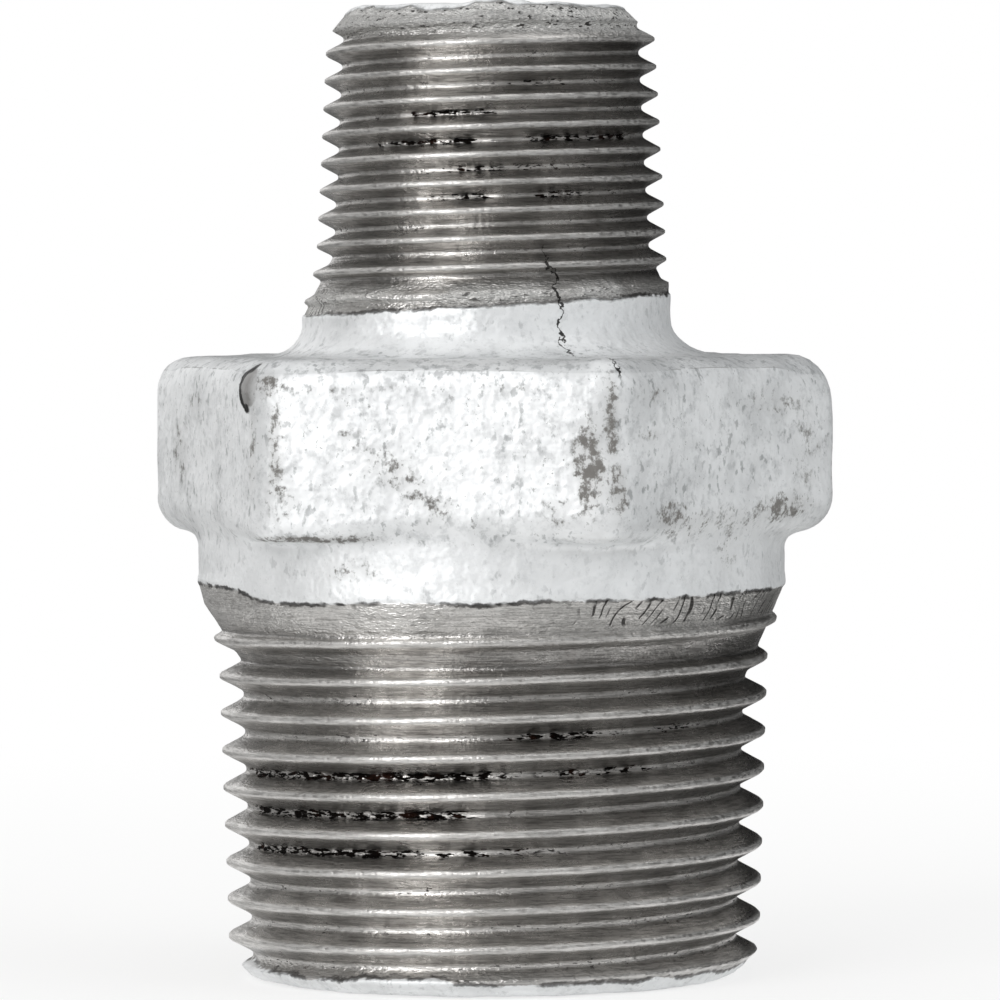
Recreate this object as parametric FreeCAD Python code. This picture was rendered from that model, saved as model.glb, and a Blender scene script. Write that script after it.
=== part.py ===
import FreeCAD, Part
import math
import os
from dataclasses import dataclass

# Hexagon reducing nipple: one hollow casting of malleable iron with a right-hand taper pipe thread
# on each end, a 3/4 thread below and a 3/8 thread above, and a hexagon between them for the spanner.
# The part stands on its large end. The origin is the middle of that end's face, +Z runs along the
# bore towards the small end, and two flats of the hexagon face -Y and +Y. All sizes are millimetres.

# Overall sizes
LENGTH = 47.0
HEX_ACROSS_FLATS = 29.5
HEX_UNDERSIDE = 21.5
HEX_TOP = 30.1
HEX_CORNER_RADIUS = 2.3
HEX_EDGE_RADIUS = 1.6

# Bore, as the core left it: two straight lengths and a cone between them
LARGE_BORE_RADIUS = 9.5
SMALL_BORE_RADIUS = 5.5
LARGE_BORE_LENGTH = 24.0
SMALL_BORE_LENGTH = 17.5

# Taper pipe thread: 1 in 16 on the diameter, 55 degree flanks
TAPER_PER_SIDE = 1.0 / 32.0
FLANK_ANGLE = 27.5
DEPTH_PER_PITCH = 0.640327
CREST_FLAT_PER_PITCH = 0.16
CUTTER_OVERLAP = 0.05
CUTTER_REACH = 1.2
INCH = 25.4

# Extent of the groove's sweep, in pitches: before the first crest and past the crests' end
SWEEP_LEAD = 1.5
SWEEP_OVERRUN = 2

# Ends of the run-out, in pitches short of the crests' end: where the groove is gone, and where the cut stops
GROOVE_GONE = 0.25
CUT_STOPS = 0.125

# The run-out cone's seam is a quarter turn from the groove's, because the cut can fail where seams meet
PLUG_SEAM = 90


@dataclass
class MaleEnd:
    """One threaded end. Lengths run inward from its face, and radii are measured from the axis."""

    threads_per_inch: float
    gauge_diameter: float
    gauge_length: float
    face_radius: float
    full_thread_length: float
    crest_length: float
    neck_start: float
    neck_radius: float
    first_crest: float

    @property
    def pitch(self):
        return INCH / self.threads_per_inch

    @property
    def depth(self):
        return DEPTH_PER_PITCH * self.pitch

    def crest_radius(self, inward):
        """Radius over the thread crests at a distance inward from the face."""
        return self.gauge_diameter / 2 + (inward - self.gauge_length) * TAPER_PER_SIDE

    def root_radius(self, inward):
        return self.crest_radius(inward) - self.depth

    @property
    def chamfer_length(self):
        """Length of the 45 degree chamfer that starts at the face and meets the crest cone."""
        return (self.crest_radius(0) - self.face_radius) / (1 - TAPER_PER_SIDE)

    @property
    def run_out_length(self):
        """Length over which the groove rises to the crests, which it reaches short of the neck's flare."""
        return self.crest_length - self.pitch * GROOVE_GONE - self.full_thread_length

    def run_out_radius(self, inward):
        """Radius that the cutter can't pass where the groove runs out, straight from root to crest."""
        rise = TAPER_PER_SIDE + self.depth / self.run_out_length
        return self.root_radius(self.full_thread_length) + (inward - self.full_thread_length) * rise


LARGE_END = MaleEnd(
    threads_per_inch=14,
    gauge_diameter=26.441,
    gauge_length=9.5,
    face_radius=12.0,
    full_thread_length=14.2,
    crest_length=17.1,
    neck_start=18.8,
    neck_radius=14.35,
    first_crest=0.88,
)
SMALL_END = MaleEnd(
    threads_per_inch=19,
    gauge_diameter=16.662,
    gauge_length=6.4,
    face_radius=6.7,
    full_thread_length=11.8,
    crest_length=13.6,
    neck_start=14.6,
    neck_radius=8.9,
    first_crest=0.22,
)
SMALL_NECK_FOOT_RADIUS = 9.1
NECK_FILLET_RADIUS = 1.8
COLLAR_FILLET_RADIUS = 1.2

AXIS = FreeCAD.Vector(0, 0, 1)
ORIGIN = FreeCAD.Vector(0, 0, 0)


def point(radius, height):
    return FreeCAD.Vector(radius, 0, height)


def outline(corners):
    """A closed face in the XZ plane from (radius, height, rounding) corners, sharp where rounding is 0."""
    edges = []
    count = len(corners)
    starts = []
    ends = []
    for i, (radius, height, rounding) in enumerate(corners):
        here = point(radius, height)
        before = point(*corners[i - 1][:2]) - here
        after = point(*corners[(i + 1) % count][:2]) - here
        if rounding:
            half = before.getAngle(after) / 2
            reach = rounding / math.tan(half)
            first = here + before.normalize() * reach
            last = here + after.normalize() * reach
            bisector = (before + after).normalize()
            middle = here + bisector * (rounding / math.sin(half) - rounding)
            edges.append((i + 0.5, Part.Arc(first, middle, last).toShape()))
        else:
            first = here
            last = here
        starts.append(last)
        ends.append(first)
    for i in range(count):
        far = ends[(i + 1) % count]
        if (starts[i] - far).Length > 1e-7:
            edges.append((i + 0.75, Part.LineSegment(starts[i], far).toShape()))
    ordered = [edge for _, edge in sorted(edges, key=lambda pair: pair[0])]
    return Part.Face(Part.Wire(ordered))


def turned(corners):
    """The solid that the outline makes when it is turned once round the bore's axis."""
    return outline(corners).revolve(ORIGIN, AXIS, 360)


def end_corners(end):
    """A threaded end's outline over its crests, from its face inward to the cast neck."""
    return [
        (end.face_radius, 0, 0),
        (end.crest_radius(end.chamfer_length), end.chamfer_length, 0),
        (end.crest_radius(end.crest_length), end.crest_length, 0),
        (end.neck_radius, end.neck_start, 0),
    ]


def blank():
    """The casting's round outside, before the hexagon is added and the threads are cut."""
    large = end_corners(LARGE_END)
    small = [(radius, LENGTH - inward, rounding) for radius, inward, rounding in end_corners(SMALL_END)]
    middle = [
        (LARGE_END.neck_radius, (HEX_UNDERSIDE + HEX_TOP) / 2, 0),
        (LARGE_END.neck_radius - NECK_FILLET_RADIUS, HEX_TOP, 0),
        (SMALL_NECK_FOOT_RADIUS, HEX_TOP, NECK_FILLET_RADIUS),
    ]
    return turned([(0, 0, 0)] + large + middle + small[::-1] + [(0, LENGTH, 0)])


def hexagon():
    """The spanner hexagon, with its cast corners and edges rounded."""
    corner = HEX_ACROSS_FLATS / math.sqrt(3)
    bearings = [math.radians(60 * k) for k in range(6)]
    points = [
        FreeCAD.Vector(corner * math.cos(bearing), corner * math.sin(bearing), HEX_UNDERSIDE)
        for bearing in bearings
    ]
    prism = Part.Face(Part.makePolygon(points + points[:1])).extrude(AXIS * (HEX_TOP - HEX_UNDERSIDE))
    upright = [edge for edge in prism.Edges if abs(edge.tangentAt(edge.FirstParameter).z) > 0.9]
    prism = prism.makeFillet(HEX_CORNER_RADIUS, upright)
    rims = [edge for edge in prism.Edges if abs(edge.tangentAt(edge.FirstParameter).z) < 0.1]
    return prism.makeFillet(HEX_EDGE_RADIUS, rims)


def bore():
    """The hole through the casting, wide at the large end and narrow at the small one."""
    return turned(
        [
            (0, 0, 0),
            (LARGE_BORE_RADIUS, 0, 0),
            (LARGE_BORE_RADIUS, LARGE_BORE_LENGTH, 0),
            (SMALL_BORE_RADIUS, LENGTH - SMALL_BORE_LENGTH, 0),
            (SMALL_BORE_RADIUS, LENGTH, 0),
            (0, LENGTH, 0),
        ]
    )


def groove_section(end, inward):
    """The groove between two crests, as a closed wire in the XZ plane that reaches past the crests."""
    slope = math.tan(math.radians(FLANK_ANGLE))
    crest = end.crest_radius(inward)
    root = crest - end.depth
    half_mouth = end.pitch * (1 - CREST_FLAT_PER_PITCH) / 2
    half_root = half_mouth - end.depth * slope
    outside = half_mouth + CUTTER_OVERLAP * slope
    corners = [
        (root, -half_root),
        (crest + CUTTER_OVERLAP, -outside),
        (crest + CUTTER_REACH, -outside),
        (crest + CUTTER_REACH, outside),
        (crest + CUTTER_OVERLAP, outside),
        (root, half_root),
    ]
    points = [point(radius, inward + along) for radius, along in corners]
    return Part.makePolygon(points + points[:1])


def thread_cutter(end):
    """The helical groove of one end, held off the neck by the cone that the die's lead leaves."""
    start = end.first_crest - end.pitch * SWEEP_LEAD
    turns = math.ceil(end.crest_length / end.pitch) + SWEEP_OVERRUN
    half_angle = math.degrees(math.atan(TAPER_PER_SIDE))
    helix = Part.makeLongHelix(end.pitch, turns * end.pitch, end.crest_radius(start), half_angle)
    helix.translate(AXIS * start)
    sweep = Part.BRepOffsetAPI.MakePipeShell(Part.Wire(helix.Edges))
    sweep.setBiNormalMode(AXIS)
    sweep.setTolerance(1e-5, 1e-5, 1e-3)
    sweep.add(groove_section(end, start))
    sweep.build()
    sweep.makeSolid()
    near = end.full_thread_length - end.pitch
    step = end.crest_length - end.pitch * CUT_STOPS
    far = start + (turns + 1) * end.pitch
    clear = end.neck_radius + 2 * CUTTER_REACH
    plug = turned(
        [
            (0, near, 0),
            (end.run_out_radius(near), near, 0),
            (end.run_out_radius(step), step, 0),
            (clear, step, 0),
            (clear, far, 0),
            (0, far, 0),
        ]
    )
    plug.rotate(ORIGIN, AXIS, PLUG_SEAM)
    return sweep.shape().cut(plug)


def to_small_end(shape):
    """Turns a shape made inward from the origin end for end, onto the small end's face."""
    placed = shape.copy()
    placed.rotate(ORIGIN, FreeCAD.Vector(1, 0, 0), 180)
    placed.translate(AXIS * LENGTH)
    return placed


def under_collar(edge):
    """Whether an edge is where the round collar meets the underside of the hexagon."""
    box = edge.BoundBox
    on_collar = all(
        abs(math.hypot(vertex.X, vertex.Y) - LARGE_END.neck_radius) < 0.001 for vertex in edge.Vertexes
    )
    return on_collar and box.ZMin > HEX_UNDERSIDE - 0.001 and box.ZMax < HEX_UNDERSIDE + HEX_EDGE_RADIUS


def nipple():
    """The whole part: the casting, cored through, with a thread cut on each end."""
    body = blank().fuse(hexagon())
    body = body.makeFillet(COLLAR_FILLET_RADIUS, [edge for edge in body.Edges if under_collar(edge)])
    body = body.cut(bore())
    body = body.cut(thread_cutter(LARGE_END))
    body = body.cut(to_small_end(thread_cutter(SMALL_END)))
    return body


os.makedirs("parts", exist_ok=True)
part = nipple()
part.Solids[0].exportStep("parts/reducing_nipple.step")
print("solids", len(part.Solids), "valid", part.isValid(), "volume", round(part.Volume, 1))
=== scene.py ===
"""A galvanised malleable iron reducing nipple: hexagon in the middle, taper pipe thread on each end."""

import math
from dataclasses import dataclass

import bmesh
import bpy
from mathutils import Color, Euler, Matrix, Vector, noise


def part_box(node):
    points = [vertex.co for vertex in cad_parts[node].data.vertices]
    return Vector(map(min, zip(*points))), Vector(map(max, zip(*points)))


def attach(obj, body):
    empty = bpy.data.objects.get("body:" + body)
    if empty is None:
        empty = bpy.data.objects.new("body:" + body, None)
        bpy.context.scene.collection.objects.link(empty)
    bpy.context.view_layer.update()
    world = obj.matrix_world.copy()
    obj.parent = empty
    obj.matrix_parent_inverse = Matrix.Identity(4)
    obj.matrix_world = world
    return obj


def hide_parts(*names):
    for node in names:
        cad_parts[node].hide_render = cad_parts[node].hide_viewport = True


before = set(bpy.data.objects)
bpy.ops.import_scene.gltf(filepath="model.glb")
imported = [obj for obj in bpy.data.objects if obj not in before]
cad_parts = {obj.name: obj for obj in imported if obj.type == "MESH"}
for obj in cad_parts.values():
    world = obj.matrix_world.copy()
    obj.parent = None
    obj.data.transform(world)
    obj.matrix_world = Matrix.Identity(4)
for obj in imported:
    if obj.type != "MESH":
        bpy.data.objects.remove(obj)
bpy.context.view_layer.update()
NODE = "reducing_nipple"
NODE_LOW, NODE_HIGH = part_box(NODE)

bl_info = {
    "name": "Reducing Nipple",
    "version": (1, 0, 0),
    "blender": (4, 5, 0),
    "location": "View3D > Sidebar > Nipple",
    "description": "Builds a galvanised reducing nipple with two taper threads, and a pale studio for it",
    "category": "Mesh",
}

# The mesh is worked out in millimetres and made metres at the end
MM = 0.001
INCH = 25.4
FULL_TURN = 2 * math.pi


def length(name, millimetres, description, lowest=0.0):
    return bpy.props.FloatProperty(
        name=name,
        description=description,
        default=millimetres * MM,
        min=lowest,
        precision=5,
        subtype="DISTANCE",
        unit="LENGTH",
    )


def amount(name, default, description, highest=1.0):
    return bpy.props.FloatProperty(
        name=name, description=description, default=default, min=0.0, max=highest, subtype="FACTOR"
    )


def power(name, default, description):
    return bpy.props.FloatProperty(
        name=name, description=description, default=default, min=0.0, unit="POWER"
    )


def bearing_angle(name, degrees, description):
    return bpy.props.FloatProperty(
        name=name, description=description, default=math.radians(degrees), subtype="ANGLE", unit="ROTATION"
    )


def colour(name, red, green, blue, description):
    return bpy.props.FloatVectorProperty(
        name=name,
        description=description,
        default=(red, green, blue),
        size=3,
        min=0.0,
        max=1.0,
        subtype="COLOR",
    )


# Lengths of the lower and of the upper threaded end in millimetres, and what they are
END_LENGTHS = {
    "gauge_diameter": (26.441, 16.83, "Diameter over the crests at the gauge length"),
    "gauge_length": (9.5, 9.6, "Distance from the face to where the gauge diameter is"),
    "face_radius": (11.8, 6.6, "Outer radius of the end face"),
    "chamfer": (1.15, 1.4, "Length of the chamfer that leads the thread in"),
    "full_thread": (14.75, 12.0, "Length cut to the full depth"),
    "full_tilt": (0.5, 0.0, "How much longer the full depth is on the shifted side"),
    "coat_edge": (18.7, 14.42, "Where the die stopped cutting and the zinc is whole"),
    "coat_tilt": (-0.2, 0.5, "How much farther the cut goes on the shifted side"),
    "blank_start": (15.6, 12.4, "Where the blank starts to widen past the crests"),
    "neck_start": (18.8, 14.6, "Where the blank is the full collar or neck"),
    "neck_radius": (14.26, 8.9, "Radius of the collar or neck"),
    "shift": (0.08, 0.27, "How far the casting is off the thread's axis"),
    "face_shift": (0.12, 0.2, "How far the end face is off the thread's axis"),
    "first_crest": (0.88, 0.22, "Distance from the face to the first crest at bearing zero"),
    "lip_edge": (0.62, 0.12, "How far zinc covers the end's chamfer"),
}
# The ends' rises for each length inward, and their threads per inch
END_RISES = {
    "taper": (1 / 32, 0.05, "Rise of the crests towards the hexagon"),
    "blank_rise": (0.27, 0.32, "Rise of the blank between the crests and the collar or neck"),
    "neck_rise": (0.0, 0.1, "Rise of the collar or neck towards the hexagon"),
}
END_THREADS = (14, 19)


def end_properties(end):
    """The properties of one threaded end, 0 for the lower and 1 for the upper."""
    properties = {
        "threads_per_inch": bpy.props.IntProperty(
            name="Threads per Inch", description="Thread turns in one inch", default=END_THREADS[end], min=1
        )
    }
    for key, (*sizes, description) in END_LENGTHS.items():
        lowest = -1.0 if key.endswith("tilt") else 0.0
        properties[key] = length(key.replace("_", " ").title(), sizes[end], description, lowest)
    for key, (*rises, description) in END_RISES.items():
        properties[key] = bpy.props.FloatProperty(
            name=key.replace("_", " ").title(), description=description, default=rises[end], min=0.0
        )
    return properties


class LargeEndSizes(bpy.types.PropertyGroup):
    """Sizes of the lower, 3/4 threaded end, measured inward from its face."""

    __annotations__ = end_properties(0)


class SmallEndSizes(bpy.types.PropertyGroup):
    """Sizes of the upper, 3/8 threaded end, measured inward from its face."""

    __annotations__ = end_properties(1)


class CastingSizes(bpy.types.PropertyGroup):
    """Sizes of the hexagon, the bore and the cast surfaces between the threads."""

    overall_length: length("Length", (NODE_HIGH.z - NODE_LOW.z) / MM, "Height standing on the large end")
    across_flats: length("Across Flats", (NODE_HIGH.y - NODE_LOW.y) / MM, "Size of spanner that fits")
    hex_underside: length("Hexagon Underside", 21.5, "Height of the hexagon's lower side")
    hex_top: length("Hexagon Top", 30.1, "Height of the hexagon's upper side")
    corner_radius: length("Corner Radius", 2.3, "Rounding of the hexagon's six corners")
    edge_radius: length("Edge Radius", 1.45, "Rounding of the hexagon's edges along its flats")
    bevel_width: length("Bevel Width", 0.26, "Width of the bevel along the top of each flat")
    bevel_drop: length("Bevel Drop", 0.5, "How far the top of the bevel is below the top of the hexagon")
    collar_fillet: length("Collar Fillet", 2.0, "Fillet between the collar and the hexagon")
    neck_foot: length("Neck Foot", 8.96, "Radius of the neck where its fillet starts")
    neck_fillet: length("Neck Fillet", 1.7, "Height of the fillet between the hexagon and the neck")
    neck_flare: length("Neck Flare", 2.25, "Width of the fillet between the hexagon and the neck")
    neck_shift: length("Neck Shift", 0.27, "How far the cast neck is off the threads' axis")
    shift_bearing: bearing_angle("Shift Bearing", 190, "Direction in which the casting is off the axis")
    large_bore: length("Large Bore", 9.5, "Radius of the bore at the large end")
    small_bore: length("Small Bore", 5.5, "Radius of the bore at the small end")
    large_bore_length: length("Large Bore Length", 24.0, "Straight length of the large bore")
    small_bore_length: length("Small Bore Length", 17.5, "Straight length of the small bore")


class WearSizes(bpy.types.PropertyGroup):
    """How uneven the zinc is and how badly the threads are torn."""

    cast_wave: length("Cast Wave", 0.09, "Height of the broad waves in the casting")
    zinc_ripple: length("Zinc Ripple", 0.04, "Height of the ripples in the zinc")
    zinc_coat: length("Zinc Coat", 0.05, "Thickness of the zinc at the edge of a cut surface")
    lip_lump: length("Lip Lump", 0.34, "Height of the zinc lump on the small end")
    blister: length("Blister", 0.17, "Height of the blister on one corner of the hexagon")
    tear_depth: length("Tear Depth", 0.2, "Depth of the torn lengths of thread")
    chatter_depth: length("Chatter Depth", 0.06, "Depth of the marks where the thread runs out")


class Finish(bpy.types.PropertyGroup):
    """Colours and surface of the zinc and of the cut iron."""

    zinc: colour("Zinc", 0.80, 0.81, 0.815, "Clean zinc")
    zinc_shade: colour("Zinc Shade", 0.40, 0.41, 0.415, "Duller clouds in the zinc")
    speck: colour("Speck", 0.13, 0.125, 0.12, "Dirt in the pores of the zinc")
    # The stain colour also paints the shadow along the hexagon's lower edge at the front left
    stain: colour("Stain", 0.13, 0.122, 0.112, "Grey-brown stains on the hexagon's corners")
    iron: colour("Cut Iron", 0.75, 0.73, 0.705, "Iron bared by the threading die")
    iron_shade: colour("Cut Iron Shade", 0.36, 0.35, 0.335, "Duller lengths of bare iron")
    # Also the colour of the painted shade on the thread's flanks and of the painted shadow under the
    # blister
    torn: colour("Torn Iron", 0.010, 0.008, 0.007, "Oily dirt in the torn lengths")
    rust: colour("Rust", 0.030, 0.014, 0.010, "Red-brown tinge of the dirt")
    # Also paints the pale highlight bands on the thread's crests and roots
    smear: colour("Smear", 0.62, 0.615, 0.60, "Zinc and iron smeared over scuffed and worn metal")
    zinc_metal: amount("Zinc Metal", 0.4, "How metallic the zinc looks")
    zinc_roughness: amount("Zinc Roughness", 0.45, "Roughness of the zinc")
    iron_roughness: amount("Iron Roughness", 0.26, "Roughness of the cut iron")


class StageSettings(bpy.types.PropertyGroup):
    """Camera, lamps and floor."""

    camera_distance: length("Camera Distance", 330.0, "Distance from the bore's axis to the camera")
    camera_height: length("Camera Height", 34.5, "Height of the camera above the floor")
    camera_bearing: bearing_angle("Camera Bearing", 280, "Bearing of the camera round the part")
    aim_height: length("Aim Height", 23.05, "Height on the axis at the middle of the picture")
    aim_side: length("Aim Side", 0.366, "How far right of the axis the middle of the picture is")
    lens: bpy.props.FloatProperty(
        name="Lens", description="Focal length", default=243.5, min=1.0, subtype="DISTANCE_CAMERA"
    )
    roll: bearing_angle("Camera Roll", -0.23, "Turn of the camera about its line of sight")
    floor: colour("Floor", 0.90, 0.90, 0.89, "Pale floor")
    floor_size: length("Floor Size", 8000.0, "Side of the floor")
    key_power: power("Key Lamp", 3.75, "Power of the soft lamp to the left")
    fill_power: power("Fill Lamp", 3.7, "Power of the soft lamp to the right")
    world_light: amount("World Light", 0.73, "Level of the light from all round", 2.0)


# Thread form, in pitches from one crest to the next: 55 degree flanks, rounded more in the root. The
# rungs are the phases, up to the root, at which the form has a row of vertices.
FLANK_SLOPE = math.tan(math.radians(27.5))
CREST_HALF_WIDTH = 0.062
FORM_DEPTH = 0.64
CREST_ROUNDING = 0.06
ROOT_ROUNDING = 0.16
HALF_RUNGS = (0.0, 0.045, 0.095, 0.15, 0.22, 0.29, 0.36, 0.41, 0.455, 0.5)

# Columns of vertices round each part, and the radius at which a part is swept before it is shaped
THREAD_COLUMNS = 180
BODY_COLUMNS = 198
BORE_COLUMNS = 120
SWEEP_RADIUS = 10.0
MERGE = 0.004

# Millimetres along the axis and across it within which a rim is looked for
RIM_LEVEL, RIM_RADIUS = 0.5, 1

# In millimetres: where a threaded sheet starts on the end face, the gap there to the bore's skin, the
# rounding of the bore's rims and the height at which the cast body takes over from the lower sheet
SHEET_START = -0.3
RIM_GAP = 0.15
BORE_LIP = 0.3
COLLAR_START = 19.55

# Steps inward over which zinc softens the outline, and the roundings of the groove's floor and rim
SOFTENING = (-0.12, -0.06, 0.0, 0.06, 0.12)
FLOOR_ROUNDING, CUT_ROUNDING = 0.15, 0.05

# Pitches across the root within which a tear is full and past which it ends, and its fade in degrees
TEAR_CORE, TEAR_EDGE, TEAR_FADE = 0.04, 0.15, 5


def ease(value, low, high):
    """0 below low, 1 above high and a smooth rise between."""
    share = min(max((value - low) / (high - low), 0.0), 1.0)
    return share * share * (3 - 2 * share)


def blend(first, second, share):
    return first + (second - first) * share


def soft_lower(first, second, rounding):
    """The lower of two heights, with the corner where they meet rounded."""
    near = max(rounding - abs(first - second), 0.0) / rounding
    return min(first, second) - near * near * rounding / 4


def degrees_apart(bearing, middle):
    """The angle in degrees between a bearing in radians and a middle in degrees."""
    return abs((math.degrees(bearing) - middle + 180) % 360 - 180)


def close_to(bearing, middle, far, close):
    """1 where a bearing is less than so many degrees from a middle, and 0 past the far angle."""
    return ease(-degrees_apart(bearing, middle), -far, -close)


def thread_depth(phase):
    """Depth below the crests in pitches, at a phase from 0 on one crest to 1 on the next."""
    away = min(phase, 1 - phase)
    flank = (away - CREST_HALF_WIDTH) / FLANK_SLOPE
    rounded = -soft_lower(-flank, 0.0, CREST_ROUNDING)
    return soft_lower(rounded, FORM_DEPTH, ROOT_ROUNDING)


@dataclass
class ThreadedEnd:
    """One threaded end in millimetres. Inward runs from its face towards the hexagon."""

    sizes: bpy.types.PropertyGroup
    tears: tuple
    chatter: tuple
    sheet_end: float
    shift_bearing: float
    lip_roughness: float
    smear: float
    scallop: tuple
    seed: float

    def __post_init__(self):
        for name in self.sizes.__annotations__:
            value = getattr(self.sizes, name)
            setattr(self, name, value / MM if name in END_LENGTHS else value)
        self.pitch = INCH / self.threads_per_inch
        self.depth = FORM_DEPTH * self.pitch
        self.root_at_run_out = self.crest_line(self.full_thread) - self.depth

    def lean(self, bearing):
        """1 on the side towards which the casting is off the thread's axis, -1 on the other."""
        return math.cos(bearing - self.shift_bearing)

    def crest_line(self, inward):
        """Radius over the crests, which follow the blank where it widens."""
        level = self.gauge_diameter / 2 + (inward - self.gauge_length) * self.taper
        return level + max(inward - self.blank_start, 0) * (self.blank_rise - self.taper)

    def cast_radius(self, bearing, inward):
        """Radius of the cast body past the thread, which sits a little off the axis."""
        rise = max(inward - self.neck_start, 0) * self.neck_rise
        return self.neck_radius + self.shift * self.lean(bearing) + rise

    def outline(self, bearing, inward):
        """(radius, height) of the uncut end, from its face over the chamfer to the cast body."""
        face = self.face_radius + self.face_shift * self.lean(bearing)
        if inward < 0:
            return face + inward, 0.0
        if inward < self.chamfer:
            return blend(face, self.crest_line(self.chamfer), inward / self.chamfer), inward
        return min(self.crest_line(inward), self.cast_radius(bearing, inward)), inward

    def soft_outline(self, bearing, inward):
        """The outline with its corners rounded, as zinc leaves them."""
        near = [self.outline(bearing, inward + step) for step in SOFTENING]
        return sum(radius for radius, _ in near) / len(near), sum(height for _, height in near) / len(near)

    def run_out(self, bearing):
        """Distances inward to where the groove's floor starts to rise and where it meets the casting."""
        lean = self.lean(bearing)
        return self.full_thread + self.full_tilt * lean, self.coat_edge + self.coat_tilt * lean

    def coat_gap(self, bearing, inward):
        """Distance into the bare iron from the nearest edge of the zinc, below 0 on the zinc."""
        here = Vector((math.cos(bearing), math.sin(bearing), self.seed))
        ragged = noise.noise(here * 4) * 0.12 + noise.noise(here * 13) * 0.07
        drip = 0.45 * max(noise.noise(here * 2.6 + Vector((7, 3, 1))), 0.0) + 0.2 * noise.noise(here * 9)
        middle, half, reach = self.scallop
        scallop = reach * close_to(bearing, middle, half, half * 0.4)
        return min(inward - self.lip_edge - drip, self.run_out(bearing)[1] + ragged + scallop - inward)

    def torn(self, bearing, phase):
        """How torn the thread is at a place, from 0 to 1."""
        most = 0.0
        for turn, start, end, strength in self.tears:
            middle, half = (start + end) / 2, (end - start) / 2
            across = ease(-abs(phase - turn - 0.5), -TEAR_EDGE, -TEAR_CORE)
            along = close_to(bearing, middle, half + TEAR_FADE, half - TEAR_FADE)
            most = max(most, strength * across * along)
        return most

    def chattered(self, bearing, inward):
        """How marked the run-out is by the die's jumping, from 0 to 1."""
        middle, half = self.chatter
        edge = self.run_out(bearing)[1]
        return close_to(bearing, middle, half, half * 0.6) * ease(inward, edge - 1.5, edge - 0.9)

    def roughened(self, bearing, inward):
        """How scuffed and smeared with zinc the cut is, at the lip and where the thread runs out."""
        lip = self.lip_roughness * ease(-inward, -self.chamfer - 0.3, -self.chamfer + 0.3)
        start, end = self.run_out(bearing)
        here = Vector((3 * math.cos(bearing), 3 * math.sin(bearing), self.seed + inward / 3))
        patch = blend(0.35, 1.0, ease(noise.noise(here), -0.2, 0.15))
        return max(lip, self.smear * patch * ease(inward, blend(start, end, 0.45), blend(start, end, 0.7)))

    def surface(self, bearing, inward):
        """(radius, height, depth of groove from 0 to 1, tear) of the cut end at a bearing."""
        radius, height = self.soft_outline(bearing, inward)
        if inward <= 0:
            return radius, height, 0.0, 0.0
        phase = (inward - self.first_crest) / self.pitch - bearing / FULL_TURN
        crest = self.crest_line(inward)
        cut = crest - thread_depth(phase % 1) * self.pitch
        start, end = self.run_out(bearing)
        if inward > start - 0.3:
            rise = (self.cast_radius(bearing, self.neck_start) - self.root_at_run_out) / (end - start)
            cut = -soft_lower(-cut, -self.root_at_run_out - (inward - start) * rise, FLOOR_ROUNDING)
        radius = soft_lower(radius, cut, CUT_ROUNDING)
        return radius, height, min(max((crest - radius) / self.depth, 0.0), 1.0), self.torn(bearing, phase)


def polar(radius, bearing, height):
    return radius * math.cos(bearing), radius * math.sin(bearing), height


def spin(mesh, points, steps, angle=FULL_TURN, climb=0.0, closed=False):
    """Sweeps a line of points round the axis, climbing a little at each step of a thread."""
    chain = [mesh.verts.new(point) for point in points]
    chain += [mesh.edges.new(pair) for pair in zip(chain, chain[1:])]
    bmesh.ops.spin(
        mesh,
        geom=chain,
        cent=(0, 0, 0),
        axis=(0, 0, 1),
        dvec=(0, 0, climb),
        angle=angle,
        steps=steps,
        use_merge=closed,
    )


def threaded_sheet(end):
    """The end's skin: rungs over one pitch are swept along the thread, trimmed level and shaped."""
    mesh = bmesh.new()
    rungs = [*HALF_RUNGS, *(1 - phase for phase in HALF_RUNGS[-2::-1])]
    turns_below = math.ceil((end.first_crest - SHEET_START) / end.pitch) + 1
    base = end.first_crest - turns_below * end.pitch
    turns = math.ceil((end.sheet_end - base) / end.pitch) + 1
    points = [(SWEEP_RADIUS, 0, base + phase * end.pitch) for phase in rungs]
    spin(mesh, points, THREAD_COLUMNS, climb=end.pitch / THREAD_COLUMNS)
    first_turn = mesh.verts[:] + mesh.edges[:] + mesh.faces[:]
    for turn in range(1, turns):
        copied = bmesh.ops.duplicate(mesh, geom=first_turn)["geom"]
        copied = [part for part in copied if isinstance(part, bmesh.types.BMVert)]
        bmesh.ops.translate(mesh, vec=(0, 0, turn * end.pitch), verts=copied)
    bmesh.ops.remove_doubles(mesh, verts=mesh.verts, dist=MERGE)
    for level, keep_above in ((SHEET_START, True), (end.sheet_end, False)):
        bmesh.ops.bisect_plane(
            mesh,
            geom=mesh.verts[:] + mesh.edges[:] + mesh.faces[:],
            dist=MERGE,
            plane_co=(0, 0, level),
            plane_no=(0, 0, 1),
            clear_inner=keep_above,
            clear_outer=not keep_above,
        )
    layers = mark_layers(mesh)
    for vertex in mesh.verts:
        bearing = math.atan2(vertex.co.y, vertex.co.x) % FULL_TURN
        inward = vertex.co.z
        radius, height, depth, torn = end.surface(bearing, inward)
        vertex[layers["bare"]] = end.coat_gap(bearing, inward)
        vertex[layers["groove"]] = depth
        vertex[layers["torn"]] = torn
        vertex[layers["chatter"]] = end.chattered(bearing, inward)
        vertex[layers["rough"]] = end.roughened(bearing, inward)
        vertex.co = polar(radius, bearing, height)
    return mesh


MARKS = ("bare", "groove", "torn", "chatter", "rough", "stained", "ridge", "shoulder")
FULL_ZINC = -4.0


def mark_layers(mesh):
    """The vertex layers that carry where the finish changes."""
    layers = mesh.verts.layers.float
    return {name: layers.get(name) or layers.new(name) for name in MARKS}


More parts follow.
